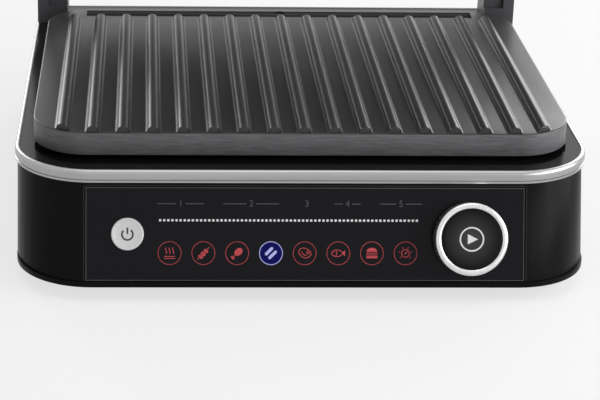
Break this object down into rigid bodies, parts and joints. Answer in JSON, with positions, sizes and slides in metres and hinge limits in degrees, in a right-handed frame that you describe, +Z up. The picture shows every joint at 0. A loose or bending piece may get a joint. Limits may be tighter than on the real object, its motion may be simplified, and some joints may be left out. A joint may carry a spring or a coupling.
{
  "type": "electric contact grill with lid",
  "caption": "Electric indoor contact grill with a sloped control panel, ribbed non-stick plates and a hinged, floating lid, shown open.",
  "frame": {"origin": "on the table, under the centre of the open grill's bounding box", "axes": "+X to the user's right, +Y to the rear, +Z up"},
  "size_m": [0.3284, 0.4373, 0.4102],
  "materials": {
    "housing_black": "satin black plastic",
    "panel_gloss": "glossy black panel with a printed scale",
    "deck_black": "glossy black enamel",
    "trim_silver": "satin silver",
    "plate_coating": "dark grey satin non-stick coating",
    "knob_silver": "bright ring",
    "button_silver": "satin silver",
    "knob_black": "glossy black",
    "cover_steel": "brushed steel sheet",
    "arm_metal": "dark grey satin paint",
    "handle_steel": "brushed tube",
    "inner_steel": "plain zinc-plated steel",
    "reflector_sheet": "bright aluminised sheet",
    "heater_sheath": "heat-tinted sheath",
    "bronze": "sintered bronze",
    "foot_rubber": "soft rubber",
    "board_green": "circuit board",
    "part_dark": "moulded plastic",
    "light_plastic": "milky light guide",
    "terminal_ivory": "moulded plastic"
  },
  "bodies": {
    "base": {"bottom_pan": "housing_black", "base_housing": "housing_black", "trim_band": "trim_silver", "top_deck": "deck_black", "rubber_feet": "foot_rubber", "base_screws": "inner_steel", "control_panel": "panel_gloss", "display_board": "board_green", "board_screws": "inner_steel", "lamp_frame": "part_dark", "light_guide": "light_plastic", "power_switch": "part_dark", "encoder_body": "inner_steel", "power_board": "board_green", "terminal_block": "terminal_ivory", "cord_gland": "part_dark", "lower_reflector": "reflector_sheet", "lower_heater": "heater_sheath", "lower_sensor": "bronze", "lower_clips": "inner_steel", "hinge_tower_left": "arm_metal", "hinge_tower_right": "arm_metal", "tower_screws": "inner_steel", "hinge_pins": "inner_steel"},
    "power_button_body": {"power_button": "button_silver"},
    "dial_rotor": {"encoder_rotor": "bronze"},
    "dial": {"encoder_shaft": "inner_steel", "knob_body": "knob_black", "knob_ring": "knob_silver"},
    "lower_plate_body": {"lower_plate": "plate_coating"},
    "lower_release": {"lower_release_button": "part_dark"},
    "tray": {"drip_tray": "housing_black"},
    "arms": {"arm_left": "arm_metal", "arm_right": "arm_metal", "hinge_bushes": "bronze", "handle_grip": "handle_steel", "handle_rod": "inner_steel", "handle_screws": "inner_steel"},
    "lid": {"lid_frame": "housing_black", "lid_cover": "cover_steel", "lid_screws": "inner_steel", "pivot_pins": "inner_steel", "pivot_washers": "part_dark", "upper_reflector": "reflector_sheet", "upper_heater": "heater_sheath", "upper_sensor": "bronze", "upper_clips": "inner_steel"},
    "upper_plate_body": {"upper_plate": "plate_coating"},
    "upper_release": {"upper_release_button": "part_dark"}
  },
  "joints": [
    {"name": "lid_hinge", "type": "hinge", "parent": "base", "child": "arms", "pos_m": [0, 0.09607, 0.1015], "axis": [-1, 0, 0], "range_deg": [-105, 0]},
    {"name": "lid_float", "type": "hinge", "parent": "arms", "child": "lid", "pos_m": [0, 0.14816, 0.2418], "axis": [1, 0, 0], "range_deg": [0, 8], "stiffness_Nm_per_rad": 2.5, "springref_deg": -8.59},
    {"name": "upper_plate_lift", "type": "slide", "parent": "lid", "child": "upper_plate_body", "axis": [0, -0.9659, 0.2588], "range_m": [0, 0.04], "deforming": ["upper_clips"]},
    {"name": "upper_release_push", "type": "slide", "parent": "lid", "child": "upper_release", "axis": [0, -0.2588, -0.9659], "range_m": [0, 0.003], "stiffness_N_per_m": 800, "springref_m": -0.002, "deforming": ["upper_clips"]},
    {"name": "lower_plate_lift", "type": "slide", "parent": "base", "child": "lower_plate_body", "axis": [0, 0, 1], "range_m": [0, 0.04], "deforming": ["lower_clips"]},
    {"name": "lower_release_push", "type": "slide", "parent": "base", "child": "lower_release", "axis": [-1, 0, 0], "range_m": [0, 0.003], "stiffness_N_per_m": 800, "springref_m": -0.002, "deforming": ["lower_clips"]},
    {"name": "drip_tray_slide", "type": "slide", "parent": "base", "child": "tray", "axis": [0, 1, 0], "range_m": [0, 0.09]},
    {"name": "knob_turn", "type": "hinge", "parent": "base", "child": "dial_rotor", "pos_m": [0.0877, -0.19945, 0.03318], "axis": [0, -0.9397, 0.342], "continuous": true},
    {"name": "knob_push", "type": "slide", "parent": "dial_rotor", "child": "dial", "axis": [0, 0.9397, -0.342], "range_m": [0, 0.0008], "stiffness_N_per_m": 2000, "springref_m": -0.001},
    {"name": "power_button_push", "type": "slide", "parent": "base", "child": "power_button_body", "axis": [0, 0.9397, -0.342], "range_m": [0, 0.0008], "stiffness_N_per_m": 1500, "springref_m": -0.001}
  ]
}
